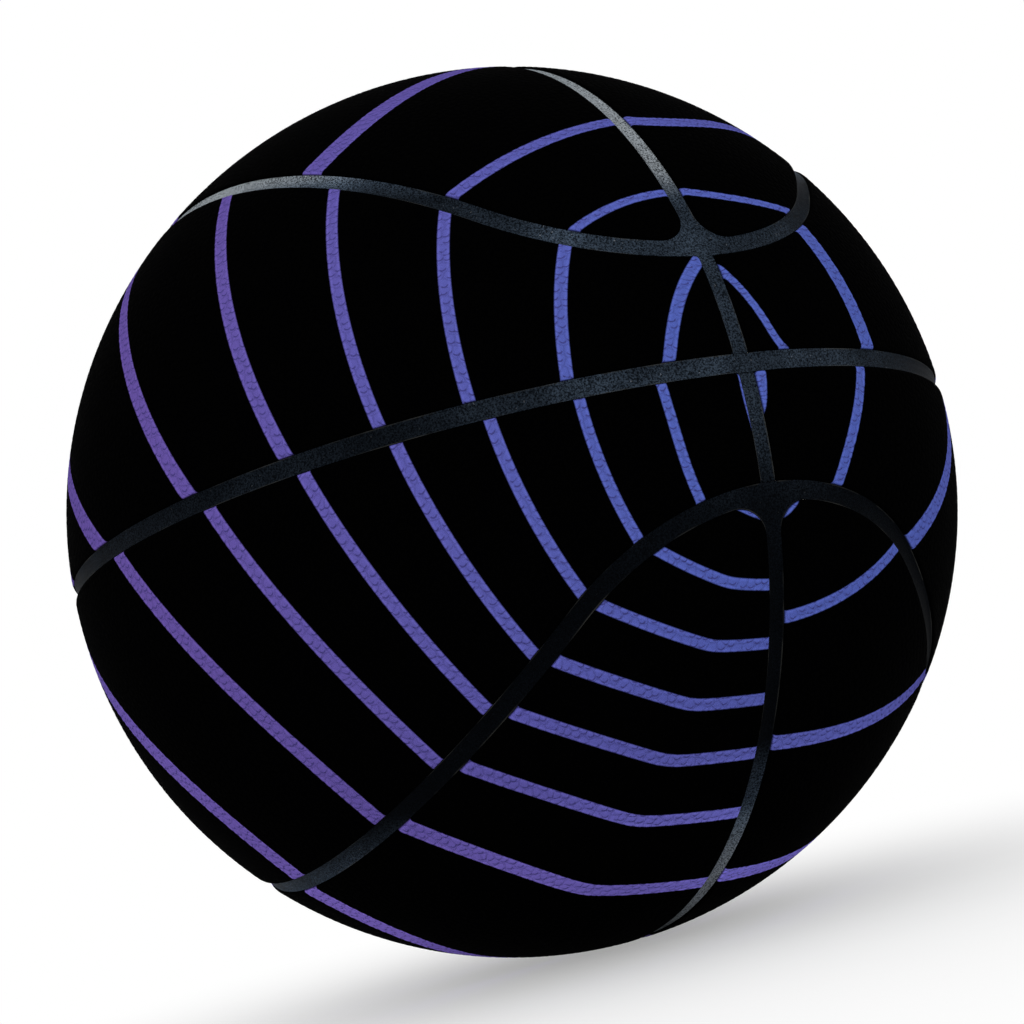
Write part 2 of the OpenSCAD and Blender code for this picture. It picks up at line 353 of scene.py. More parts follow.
# The longest edge of the faces near a patch's edge, and how near that is, for each time they are made finer.
EDGE_STEPS = ((0.0023, 0.0045), (0.00115, 0.0026), (0.0006, 0.0014), (0.0003, 0.0007))
FINEST = EDGE_STEPS[-1][0]
# Shares of that finest edge: faces cut by a circle, points taken onto a cut, points joined, the farthest slide.
CUT_NEAR, CUT_SNAP, JOINED, SLID = 1.6, 0.12, 0.15, 0.5
TOP_EDGE, TOP_PASSES = 0.0008, 5


def cut_patch(name, radius, inside, circles):
    """A patch of a sphere, made finer towards its edge, cut along the edge's circles and trimmed."""
    deselect()
    bpy.ops.mesh.primitive_ico_sphere_add(subdivisions=SPHERE_SUBDIVISIONS, radius=radius)
    obj = named(name)
    edit_faces(obj)
    bpy.ops.mesh.subdivide(number_cuts=SPHERE_CUTS)
    leave_edit()
    place(obj, unit(coordinates(obj)) * radius)
    edit_faces(obj, inside(unit(face_centres(obj))) * radius < -KEPT_BEYOND)
    bpy.ops.mesh.delete(type="FACE")
    leave_edit()
    for _, reach in EDGE_STEPS:
        edit_faces(obj, np.abs(inside(unit(face_centres(obj)))) * radius < reach)
        bpy.ops.mesh.subdivide(number_cuts=1)
        leave_edit()
        place(obj, unit(coordinates(obj)) * radius)
    near = FINEST * CUT_NEAR
    for n, turn in circles:
        d = unit(face_centres(obj))
        edit_faces(obj, (np.abs(inside(d)) * radius < near) & (np.abs(arc(d, n) - turn) * radius < near))
        bpy.ops.mesh.bisect(plane_co=n * radius * math.cos(turn), plane_no=n, threshold=FINEST * CUT_SNAP)
        leave_edit()
    edit_faces(obj, inside(unit(face_centres(obj))) < 0)
    bpy.ops.mesh.delete(type="FACE")
    bpy.ops.mesh.select_all(action="SELECT")
    bpy.ops.mesh.remove_doubles(threshold=FINEST * JOINED)
    bpy.ops.mesh.quads_convert_to_tris()
    leave_edit()
    settle_edge(obj, radius, inside)
    return obj


def settle_edge(obj, radius, inside):
    """Moves the patch's border points onto the edge itself, and every point onto the sphere."""
    d = unit(coordinates(obj))
    uses = np.bincount(read(obj.data.loops, "edge_index", int), minlength=len(obj.data.edges))
    rim = np.unique(edge_ends(obj)[uses == 1])
    step = 1e-5
    here = inside(d[rim])
    slope = np.stack([(inside(unit(d[rim] + step * axis)) - here) / step for axis in np.eye(3)], 1)
    slope /= np.maximum(np.linalg.norm(slope, axis=1), 0.2)[:, None] ** 2
    move = -slope * here[:, None]
    moved = np.linalg.norm(move, axis=1)[:, None] * radius
    d[rim] += move * np.minimum(1, FINEST * SLID / np.maximum(moved, 1e-9))
    place(obj, unit(d) * radius)


def thicken(obj, inner, outer):
    """Raises the patch, whose points lie at the inner radius, into a closed shell up to the outer radius."""
    edit_faces(obj)
    bpy.ops.mesh.extrude_region_move()
    k = outer / inner
    bpy.ops.transform.resize(value=(k, k, k), center_override=(0, 0, 0))
    bpy.ops.mesh.select_all(action="SELECT")
    bpy.ops.mesh.normals_make_consistent(inside=False)
    leave_edit()


def refine_top(obj, inner, outer):
    """Subdivides the outer faces until no edge is longer than TOP_EDGE, and keeps them round."""
    middle = (inner + outer) / 2
    for _ in range(TOP_PASSES):
        co, me, ends = coordinates(obj), obj.data, edge_ends(obj)
        span = np.linalg.norm(co[ends[:, 0]] - co[ends[:, 1]], axis=1)
        high = np.linalg.norm(co, axis=1) > middle
        long_edge = high[ends].all(1) & (span > TOP_EDGE)
        edges, corners = read(me.loops, "edge_index", int), read(me.loops, "vertex_index", int)
        starts = read(me.polygons, "loop_start", int)
        chosen = np.maximum.reduceat(long_edge[edges].astype(int), starts) > 0
        chosen &= np.minimum.reduceat(high[corners].astype(int), starts) > 0
        if not chosen.any():
            break
        edit_faces(obj, chosen)
        bpy.ops.mesh.subdivide(number_cuts=1)
        bpy.ops.mesh.select_all(action="SELECT")
        bpy.ops.mesh.quads_convert_to_tris()
        leave_edit()
        co = coordinates(obj)
        r = np.linalg.norm(co, axis=1)
        high = r > middle
        co[high] *= (outer / r[high])[:, None]
        place(obj, co)


def panel_form(name, inside, circles):
    """A smooth panel, from its edge's circles."""
    size = settings().sizes
    form = cut_patch(name, size.backing, inside, circles)
    thicken(form, size.backing, size.cover)
    refine_top(form, size.backing, size.cover)
    return form


def mirrored(source, name, x=1, y=1, z=1):
    """A copy of a piece with its own mesh, mirrored to another side of the ball."""
    activate(source)
    bpy.ops.object.duplicate()
    obj = named(name)
    if (x, y, z) != (1, 1, 1):
        edit_faces(obj)
        bpy.ops.transform.resize(value=(x, y, z), center_override=(0, 0, 0))
        if x * y * z < 0:
            bpy.ops.mesh.flip_normals()
        leave_edit()
    return obj


def spun(name, section, axis, steps, closed=True):
    """A section's outline spun once round an axis through the ball's centre."""
    me = bpy.data.meshes.new(name)
    n = len(section)
    edges = [(i, i + 1) for i in range(n - 1)] + ([(n - 1, 0)] if closed else [])
    me.from_pydata([tuple(p) for p in section], edges, [])
    obj = in_scene(name, me)
    activate(obj)
    bpy.context.tool_settings.mesh_select_mode = (True, False, False)
    bpy.ops.object.mode_set(mode="EDIT")
    bpy.ops.mesh.select_all(action="SELECT")
    bpy.ops.mesh.spin(steps=steps, angle=2 * math.pi, center=(0, 0, 0), axis=axis)
    bpy.ops.mesh.select_all(action="SELECT")
    bpy.ops.mesh.remove_doubles(threshold=1e-6)
    bpy.ops.mesh.normals_make_consistent(inside=False)
    leave_edit()
    return obj


def store(obj, name, kind, values):
    """Keeps one value for each point of a mesh, which its material reads."""
    field = "vector" if kind == "FLOAT_VECTOR" else "value"
    kept = obj.data.attributes.new(name, kind, "POINT")
    kept.data.foreach_set(field, np.ascontiguousarray(values, np.float32).ravel())


def finish_piece(obj, material, node, sharp=50):
    obj.data.materials.clear()
    obj.data.materials.append(bpy.data.materials[material])
    activate(obj)
    bpy.ops.object.shade_smooth_by_angle(angle=math.radians(sharp))
    deselect()
    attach(obj, "root")
    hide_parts(node)


# Nodes

def feed(tree, value, socket):
    """Links an output to a socket, or sets the socket to a number or a colour."""
    if isinstance(value, bpy.types.NodeSocket):
        tree.links.new(value, socket)
    else:
        socket.default_value = value if isinstance(value, (int, float)) else (*value, 1)


def fill(tree, node, **values):
    """Feeds a node's inputs, which are named with _ for a blank, and returns its outputs."""
    for key, value in values.items():
        feed(tree, value, node.inputs[key.replace("_", " ")])
    return node.outputs


def maths(tree, operation, *values):
    node = tree.nodes.new("ShaderNodeMath")
    node.operation = operation
    for value, socket in zip(values, node.inputs):
        feed(tree, value, socket)
    return node.outputs[0]


def times(tree, a, b):
    return maths(tree, "MULTIPLY", a, b)


def larger(tree, a, b):
    return maths(tree, "MAXIMUM", a, b)


def ramp(tree, value, low, high, to_low=0.0, to_high=1.0):
    """Smooth step of a value from low to high."""
    node = tree.nodes.new("ShaderNodeMapRange")
    node.interpolation_type = "SMOOTHSTEP"
    return fill(tree, node, Value=value, From_Min=low, From_Max=high, To_Min=to_low, To_Max=to_high)["Result"]


def spot(tree, where, middle, near, far, inside, outside):
    """A value that changes from inside to outside with the distance from a point."""
    node = tree.nodes.new("ShaderNodeVectorMath")
    node.operation = "DISTANCE"
    tree.links.new(where, node.inputs[0])
    node.inputs[1].default_value = middle
    return ramp(tree, node.outputs["Value"], near, far, inside, outside)


def blend(tree, factor, a, b, mode="MIX"):
    node = tree.nodes.new("ShaderNodeMix")
    node.data_type = "RGBA"
    node.blend_type = mode
    for value, socket in ((factor, node.inputs["Factor"]), (a, node.inputs[6]), (b, node.inputs[7])):
        feed(tree, value, socket)
    return node.outputs[2]


def noise(tree, vector, scale, detail=2.0, roughness=0.5):
    node = tree.nodes.new("ShaderNodeTexNoise")
    return fill(tree, node, Vector=vector, Scale=scale, Detail=detail, Roughness=roughness)["Fac"]


def bump(tree, height, distance, strength=1.0, normal=None):
    node = tree.nodes.new("ShaderNodeBump")
    if normal is not None:
        tree.links.new(normal, node.inputs["Normal"])
    return fill(tree, node, Height=height, Distance=distance, Strength=strength)["Normal"]


def axes(tree, vector):
    """The outputs X, Y and Z of a vector."""
    return fill(tree, tree.nodes.new("ShaderNodeSeparateXYZ"), Vector=vector)


def attribute(tree, name, output):
    node = tree.nodes.new("ShaderNodeAttribute")
    node.attribute_name = name
    return node.outputs[output]


def object_place(tree):
    return tree.nodes.new("ShaderNodeTexCoord").outputs["Object"]


def seen(tree):
    """1 for a ray from the camera, from a reflection or through something clear, otherwise 0."""
    path = tree.nodes.new("ShaderNodeLightPath").outputs
    return larger(tree, path["Is Camera Ray"], larger(tree, path["Is Glossy Ray"], path["Is Transmission Ray"]))


PEBBLE_RANDOMNESS = 0.78


def pebble_cells(tree, place_on_panel, feature):
    """The pebbles' cells, about one to each unit of the place on the panel."""
    node = tree.nodes.new("ShaderNodeTexVoronoi")
    node.voronoi_dimensions = "2D"
    node.feature = feature
    return fill(tree, node, Vector=place_on_panel, Scale=1.0, Randomness=PEBBLE_RANDOMNESS)


# Pebbles and printed rings

def pebble_nodes():
    """Geometry nodes that keep the height of the pebbles at each point, from its place on the panel."""
    tree = bpy.data.node_groups.get("Pebble Heights")
    if tree:
        return tree
    tree = bpy.data.node_groups.new("Pebble Heights", "GeometryNodeTree")
    for in_out in ("INPUT", "OUTPUT"):
        tree.interface.new_socket(name="Mesh", in_out=in_out, socket_type="NodeSocketGeometry")
    n, link = tree.nodes, tree.links.new
    at = n.new("GeometryNodeInputNamedAttribute")
    at.data_type = "FLOAT_VECTOR"
    at.inputs["Name"].default_value = "pebble_place"
    cells = pebble_cells(tree, at.outputs["Attribute"], "DISTANCE_TO_EDGE")
    keep = n.new("GeometryNodeStoreNamedAttribute")
    keep.data_type = "FLOAT"
    keep.domain = "POINT"
    keep.inputs["Name"].default_value = "pebble"
    link(n.new("NodeGroupInput").outputs[0], keep.inputs["Geometry"])
    link(ramp(tree, cells["Distance"], -0.04, 0.36), keep.inputs["Value"])
    link(keep.outputs["Geometry"], n.new("NodeGroupOutput").inputs[0])
    return tree


# How far the pebble pattern is moved on from one panel to the next, along and across, in pebbles.
SEED_STEPS = (37.0, 53.0)


def pebble_place(d, x, z, middle, seed):
    """Flat place of each direction on a panel, in pebbles: along the panel from front to back, and across it.
    The third value is the angle, in that flat place, of the way down."""
    size = settings().sizes
    along = np.arccos(np.clip(-d[:, 1], -1, 1))
    turn = np.arctan2(d[:, 2] * z, d[:, 0] * x)
    pitch = size.pebble_pitch / size.ball
    down = np.arctan2(-z * np.cos(turn), -z * np.cos(along) * np.sin(turn))
    return np.stack([along / pitch + SEED_STEPS[0] * seed,
                     (turn - middle) * np.sin(along) / pitch + SEED_STEPS[1] * seed, down], 1)


# The rings of each panel, as seen from the rings' middle: a bearing in degrees (0 right, 90 up), the rings'
# radii in degrees on that bearing, the widths of their print in millimetres, and how a radius changes away from
# that bearing (its lean and bow per 30 degrees of bearing, and the bend at a corner, each a polynomial in the
# radius over 60 degrees). Beyond the last radius the rings go on alike, the given number of degrees apart, and
# round the back of the ball they turn into plain circles.
RINGS = {
    "upper_left_band": dict(
        start=160, radii=(10.1, 20.8, 31.7, 42.6, 55.8, 73.8, 104.6), step=20,
        widths=(2.8, 2.7, 2.65, 2.7, 3.4, 4.0, 5.35), lean=(1.4, -6.7, -10.2), bow=(0.7, 2.9)),
    "upper_right_band": dict(
        start=45, radii=(6.75, 24.0), step=30, widths=(2.0, 5.1), lean=(-1.65, 19.5), bow=(3.5, -4.3)),
    "lower_left_band": dict(
        start=200, radii=(10.8, 19.2, 27.3, 35.4, 43.6, 53.0, 65.7, 90.7), step=20,
        widths=(2.2, 2.35, 2.5, 2.7, 2.9, 3.3, 4.2, 7.0), lean=(1.0, 4.7, -14.7), bow=(2.0, -5.7, 10.9)),
    "lower_right_band": dict(
        start=340, radii=(13.4, 35.1), step=30, widths=(2.9, 4.7), lean=(-0.1, -1.6, 43.1), bow=(0.1, 7.4)),
    "upper_left_cap": dict(
        start=115, radii=(24.9, 36.9, 58.0), step=30, widths=(2.0, 3.0, 5.9),
        lean=(-9.8, 42.1, -39.2), bow=(-3.9, 10.6)),
    "upper_right_cap": dict(
        start=75, radii=(24.5, 39.4), step=30, widths=(2.05, 3.8), lean=(11.2, -31.4), bow=(-9.7, 33.0)),
    "lower_left_cap": dict(
        start=250, radii=(11.9, 19.6, 26.2, 32.67, 39.3, 47.4, 59.2, 87.6), step=20,
        widths=(2.4, 2.4, 2.55, 2.8, 3.05, 3.35, 4.5, 8.0),
        lean=(2.6, -9.1, 12.7), bow=(-2.1, 11.0), corner=(3.0, -15.4)),
    "lower_right_cap": dict(
        start=290, radii=(10.55, 23.6, 41.3, 67.1), step=22, widths=(2.5, 2.7, 3.8, 5.4),
        lean=(-7.8, 23.5), bow=(-2.6, 10.0)),
}
BEARING_UNIT, RADIUS_UNIT, FARTHEST_BEARING = 30, 60, 3
# The solid print at the rings' middle on the lower band panels: an ellipse's middle, sideways and upwards, its
# half width and its half height, in degrees, and the angle round the rings' middle that it can lie in.
MIDDLE_PRINT = {"lower_left_band": (0.0, 0.2, 1.92, 7.0), "lower_right_band": (-1.96, 6.0, 3.9, 10.0)}
MIDDLE_REACH = 8
CORNER_AT, CORNER_SOFT = 0.03, 0.04
ROUND_FROM, ROUND_AT, WIDEST_ROUND, LAST_RING = 100, 150, 5, 168


def polynomial(coefficients, u):
    return sum((c * u ** i for i, c in enumerate(coefficients)), 0.0)


def inside_print(d, panel):
    """How far each direction lies inside the print of the nearest ring. It is negative between the rings."""
    ball, rule, rings = settings().sizes.ball, RINGS[panel], settings().rings
    middle = direction(rings.azimuth - math.pi / 2, rings.elevation)
    right = direction(rings.azimuth, 0)
    up = np.cross(middle, right)
    radius = arc(d, middle)
    turn = (np.degrees(np.arctan2(d @ up, d @ right)) - rule["start"] + 180) % 360 - 180
    t = np.clip(turn / BEARING_UNIT, -FARTHEST_BEARING, FARTHEST_BEARING)
    start_bend = np.logaddexp(0, -CORNER_AT / CORNER_SOFT)
    bend = CORNER_SOFT * (np.logaddexp(0, (t - CORNER_AT) / CORNER_SOFT) - start_bend)
    bent = 1 / (1 + np.exp(-(t - CORNER_AT) / CORNER_SOFT))
    back = np.clip((np.degrees(radius) - ROUND_FROM) / (ROUND_AT - ROUND_FROM), 0, 1)
    shaped = 1 - smooth(back)
    fading = 6 * back * (1 - back) / math.radians(ROUND_AT - ROUND_FROM)
    last = rule["radii"][-1]
    more = np.arange(last + rule["step"], LAST_RING, rule["step"])
    widths = [*rule["widths"], *[min(rule["widths"][-1], WIDEST_ROUND)] * len(more)]
    best = np.full(len(d), -1.0)
    for r, width in zip([*rule["radii"], *more], widths):
        u = min(r, last) / RADIUS_UNIT
        a, b, k = (polynomial(rule.get(key, ()), u) for key in ("lean", "bow", "corner"))
        shift = np.radians(a * t + b * t ** 2 + k * bend)
        slope = np.radians(a + 2 * b * t + k * bent) * shaped
        slope = slope / math.radians(BEARING_UNIT) / np.maximum(np.sin(radius), 0.05)
        away = np.abs(radius - math.radians(r) - shift * shaped) / np.hypot(1 + shift * fading, slope) * ball
        best = np.maximum(best, width / 2000 - away)
    if panel in MIDDLE_PRINT:
        side, rise, wide, high = (math.radians(v) for v in MIDDLE_PRINT[panel])
        x, y = d @ right - side, d @ up - rise
        stretch = np.sqrt((x / wide) ** 2 + (y / high) ** 2)
        steep = np.sqrt((x / wide ** 2) ** 2 + (y / high ** 2) ** 2)
        solid = np.maximum(best, (1 - stretch) * stretch / np.maximum(steep, 1e-6) * ball)
        best = np.where(radius < math.radians(MIDDLE_REACH), solid, best)
    return best


# The distances from a panel's edge between which the pebbles rise to their height, and the share of a pebble's
# height that the smooth edge lies below the pebbles' tops.
PEBBLES_FROM, PEBBLES_OVER, EDGE_LEVEL = 0.2e-3, 0.9e-3, 0.35


def dress_panel(obj, panel, x, z, inside, middle, seed):
    """Pebbles the top of a panel, rolls its edge down and stores where the stripes are."""
    size = settings().sizes
    co = coordinates(obj)
    d = unit(co)
    edge = inside(d * (x, 1, z)) * size.ball
    store(obj, "pebble_place", "FLOAT_VECTOR", pebble_place(d, x, z, middle, seed))
    store(obj, "inside_print", "FLOAT", inside_print(d, panel))
    store(obj, "panel_edge", "FLOAT", edge)
    activate(obj)
    grain = obj.modifiers.new("Pebbles", "NODES")
    grain.node_group = pebble_nodes()
    bpy.ops.object.modifier_apply(modifier=grain.name)
    height = read(obj.data.attributes["pebble"].data, "value")
    top = np.linalg.norm(co, axis=1) > (size.backing + size.cover) / 2
    fade = smooth(np.clip((edge - PEBBLES_FROM) / PEBBLES_OVER, 0, 1))
    roll = np.clip(1 - edge / size.edge_roll, 0, 1)
    drop = size.edge_drop * (1 - np.sqrt(1 - np.minimum(roll, 0.999) ** 2))
    valley = size.pebble_height * (1 - height) * fade
    r = size.cover - valley - size.pebble_height * EDGE_LEVEL * (1 - fade) - drop
    co[top] = d[top] * r[top, None]
    place(obj, co)
    obj.data.attributes.remove(obj.data.attributes["pebble"])
    finish_piece(obj, "pebbled_leather", panel + "_panel")


def dress_sides(part, middle, first_seed, plain, pierced=None):
    """Copies a panel's form to each side of the ball, or the pierced one to the valve's, and dresses the copy."""
    for seed, (x, z) in enumerate(SIDES, first_seed):
        form, inside = pierced if pierced and (x, z) == (1, 1) else plain
        name = f"{side_name(x, z)}_{part}"
        dress_panel(mirrored(form, name + "_cover", x=x, z=z), name, x, z, inside, math.radians(middle), seed)
    for form, _ in filter(None, (plain, pierced)):
        bpy.data.objects.remove(form)


def hollow(obj, seams):
    """Raises a strip's top where it is close to a panel, so the channel has a rounded floor."""
    size = settings().sizes
    co = coordinates(obj)
    d = unit(co)
    top = np.linalg.norm(co, axis=1) > (size.carcass + size.strip) / 2
    q = np.abs(d[top]) * (1, -1, 1)
    away = -np.maximum(seams.cap(q), seams.band(q)) * size.ball
    edge = np.full(len(co), 0.01)
    edge[top] = away
    store(obj, "strip_edge", "FLOAT", edge)
    share = np.clip(1 - away / size.strip_curve, 0, 1)
    co[top] = d[top] * (size.strip + (size.strip_rim - size.strip) * share ** 2.2)[:, None]
    place(obj, co)


# Shader groups

def new_group(name, inputs, outputs):
    tree = bpy.data.node_groups.new(name, "ShaderNodeTree")
    for label, kind, value in inputs:
        s = tree.interface.new_socket(name=label, in_out="INPUT", socket_type="NodeSocket" + kind)
        if value is not None:
            s.default_value = value
    for label in outputs:
        tree.interface.new_socket(name=label, in_out="OUTPUT", socket_type="NodeSocketFloat")
    return tree, tree.nodes.new("NodeGroupInput").outputs, tree.nodes.new("NodeGroupOutput").inputs


def pebble_group():
    """Pebbles from a place on the panel: a dome, the crease round it, and the shaded scale on its lower side."""
    tree, source, sink = new_group(
        "Pebble Grain",
        [("Place", "Vector", None), ("Crease Width", "Float", 0.1), ("Scale Radius", "Float", 0.37)],
        ["Dome", "Crease", "Scale"])
    link = tree.links.new
    distance = pebble_cells(tree, source["Place"], "DISTANCE_TO_EDGE")["Distance"]
    nearest = pebble_cells(tree, source["Place"], "F1")
    link(ramp(tree, distance, 0.0, 0.34), sink["Dome"])
    link(ramp(tree, distance, 0.01, source["Crease Width"], 1.0, 0.0), sink["Crease"])
    offset = tree.nodes.new("ShaderNodeVectorMath")
    offset.operation = "SUBTRACT"
    link(source["Place"], offset.inputs[0])
    link(nearest["Position"], offset.inputs[1])
    parts, way = axes(tree, offset.outputs["Vector"]), axes(tree, source["Place"])["Z"]
    down = maths(tree, "MULTIPLY_ADD", parts["X"], maths(tree, "COSINE", way),
                 times(tree, parts["Y"], maths(tree, "SINE", way)))
    reach = nearest["Distance"]
    lower = ramp(tree, maths(tree, "DIVIDE", down, larger(tree, reach, 0.01)), 0.1, 0.75)
    off = maths(tree, "ABSOLUTE", maths(tree, "SUBTRACT", reach, source["Scale Radius"]))
    link(times(tree, ramp(tree, off, 0.03, 0.12, 1.0, 0.0), lower), sink["Scale"])


def ring_group():
    """Stripe print, from how far a point is inside the print and the panel: the band, and its bright rim."""
    tree, source, sink = new_group(
        "Ring Print",
        [("Inside", "Float", 0.0), ("Edge", "Float", 0.01), ("Margin", "Float", 0.0001),
         ("Softness", "Float", 0.00018), ("Rim", "Float", 0.0008)],
        ["Band", "Rim"])
    inside = maths(tree, "MINIMUM", source["Inside"], maths(tree, "SUBTRACT", source["Edge"], source["Margin"]))
    soft = source["Softness"]
    tree.links.new(ramp(tree, inside, times(tree, soft, -1.0), soft), sink["Band"])
    tree.links.new(ramp(tree, inside, times(tree, soft, 2.0), source["Rim"], 1.0, 0.0), sink["Rim"])


def stipple_group():
    """Fine stipple of moulded rubber: raised dots, and the speckle of dust and painted sheen between them, denser
    where its lightening input is high.
    """
    tree, source, sink = new_group(
        "Rubber Stipple",
        [("Vector", "Vector", None), ("Scale", "Float", 3000.0), ("Settled", "Float", 0.0)],
        ["Dots", "Dust And Sheen", "Specks"])
    where = source["Vector"]
    cells = fill(tree, tree.nodes.new("ShaderNodeTexVoronoi"), Vector=where, Scale=source["Scale"], Randomness=1.0)
    tree.links.new(ramp(tree, cells["Distance"], 0.15, 0.6, 1.0, 0.0), sink["Dots"])
    fine, broad = noise(tree, where, 2500.0, 2.0, 0.7), noise(tree, where, 60.0, 3.0)
    level = times(tree, source["Settled"], ramp(tree, broad, 0.3, 0.7, 0.65, 1.35))
    tree.links.new(times(tree, ramp(tree, fine, 0.36, 0.66, 0.15, 2.1), level), sink["Dust And Sheen"])
    rare = noise(tree, where, 1300.0, 1.0)
    tree.links.new(times(tree, ramp(tree, rare, 0.74, 0.8), level), sink["Specks"])


def use_group(tree, name, **values):
    node = tree.nodes.new("ShaderNodeGroup")
    node.node_tree = bpy.data.node_groups[name]
    return fill(tree, node, **values)


# Materials

def new_material(name, roughness, specular):
    m = bpy.data.materials.new(name)
    m.use_nodes = True
    shader = m.node_tree.nodes["Principled BSDF"]
    shader.inputs["Roughness"].default_value = roughness
    shader.inputs["Specular IOR Level"].default_value = specular
    return m, m.node_tree, shader


def surface(tree, shader, base, roughness, normal):
    fill(tree, shader, Base_Color=base, Roughness=roughness, Normal=normal)


# Where the stripes' tint changes, from the bluest point, and where painted light makes the print lighter on the
# ball's
# lower side: towards the bottom, behind the front of the lower half, and at one place on the underside.
TINT_NEAR, TINT_FAR = 0.028, 0.164
BOTTOM_FROM, BOTTOM_AT, BOTTOM_PAINTED_LIGHT = -0.07, -0.112, (2.0, 2.05, 1.95)
BEHIND_FROM, BEHIND_AT, BEHIND_SHARE, BELOW_FROM, BELOW_AT = -0.045, -0.01, 0.65, 0.0, -0.04
UNDERSIDE, UNDERSIDE_NEAR, UNDERSIDE_FAR, LOW_PAINTED_LIGHT = (0.03, -0.045, -0.107), 0.02, 0.06, (1.45, 1.55, 1.5)


def cover_material():
    """Dull black pebbled leather with the ring print, brighter at the print's edges, with painted shade in its
    creases and on each pebble's lower side, and made lighter underneath by painted light.
    """
    f, r, ball = settings().finish, settings().rings, settings().sizes.ball
    _, tree, shader = new_material("pebbled_leather", 0.85, 0.001)
    where = object_place(tree)
    at = axes(tree, where)
    pebbles = use_group(tree, "Pebble Grain", Place=attribute(tree, "pebble_place", "Vector"), Crease_Width=0.1)
    rings = use_group(tree, "Ring Print", Inside=attribute(tree, "inside_print", "Fac"),
                      Edge=attribute(tree, "panel_edge", "Fac"))
    grain = noise(tree, where, 2200.0, 3.0, 0.6)
    bluest = direction(r.bluest - math.pi / 2, r.elevation) * ball
    stripe = blend(tree, spot(tree, where, bluest, TINT_NEAR, TINT_FAR, 0.0, 1.0), f.stripe_near, f.stripe_far)
    stripe = blend(tree, rings["Rim"], stripe, (1.17, 1.17, 1.17), "MULTIPLY")
    # Painted light: the print is lighter towards the bottom, behind the front of the lower half and at one spot
    # underneath.
    stripe = blend(tree, ramp(tree, at["Z"], BOTTOM_FROM, BOTTOM_AT), stripe, BOTTOM_PAINTED_LIGHT, "MULTIPLY")
    low = times(tree, ramp(tree, at["Y"], BEHIND_FROM, BEHIND_AT, 0.0, BEHIND_SHARE),
                ramp(tree, at["Z"], BELOW_FROM, BELOW_AT))
    low = larger(tree, low, spot(tree, where, UNDERSIDE, UNDERSIDE_NEAR, UNDERSIDE_FAR, 1.0, 0.0))
    stripe = blend(tree, low, stripe, LOW_PAINTED_LIGHT, "MULTIPLY")
    # Painted shade: the print is darkened in the pebbles' creases and on each pebble's lower side; the grain noise
    # darkens it at random.
    for share, tone in ((times(tree, pebbles["Crease"], 0.14), (0.03, 0.025, 0.11)),
                        (times(tree, pebbles["Scale"], 0.7), (0.028, 0.024, 0.11)),
                        (times(tree, ramp(tree, grain, 0.35, 0.75), 0.18), (0.045, 0.04, 0.17))):
        stripe = blend(tree, share, stripe, tone)
    cover = blend(tree, times(tree, ramp(tree, grain, 0.45, 0.8), 0.5), f.cover, (0.0009, 0.0009, 0.001))
    height = maths(tree, "MULTIPLY_ADD", pebbles["Crease"], -1.0, times(tree, pebbles["Dome"], 0.6))
    surface(tree, shader, blend(tree, rings["Band"], cover, stripe),
            maths(tree, "MULTIPLY_ADD", pebbles["Dome"], -0.1, 0.85),
            bump(tree, grain, 0.00003, 0.5, bump(tree, height, 0.00009)))


# Speckled lightening in the channels. On the top and under the ball it is painted sheen and highlight: how much
# less it reaches sideways, the heights between which it starts and is full, and its amount. Round the front: two
# spots, the close one a painted highlight, each with a middle, its near and far distance and its amount there, and
# the heights between which the wide one fades downwards.
PAINTED_SHEEN_TOP, PAINTED_SHEEN_UNDER = (-0.35, 0.031, 0.0555, 0.85), (-0.04, -0.076, -0.11, 0.75)
LIGHTER_FRONT = ((-0.008, -0.12, 0.012), 0.026, 0.07, 0.16, 0.035)
LIGHTER_FRONT_FADE = (-0.032, -0.004, 0.12, 1.0)
PAINTED_HIGHLIGHT_SPOT = ((-0.022, -0.113, 0.033), 0.005, 0.026, 0.26, 0.0)


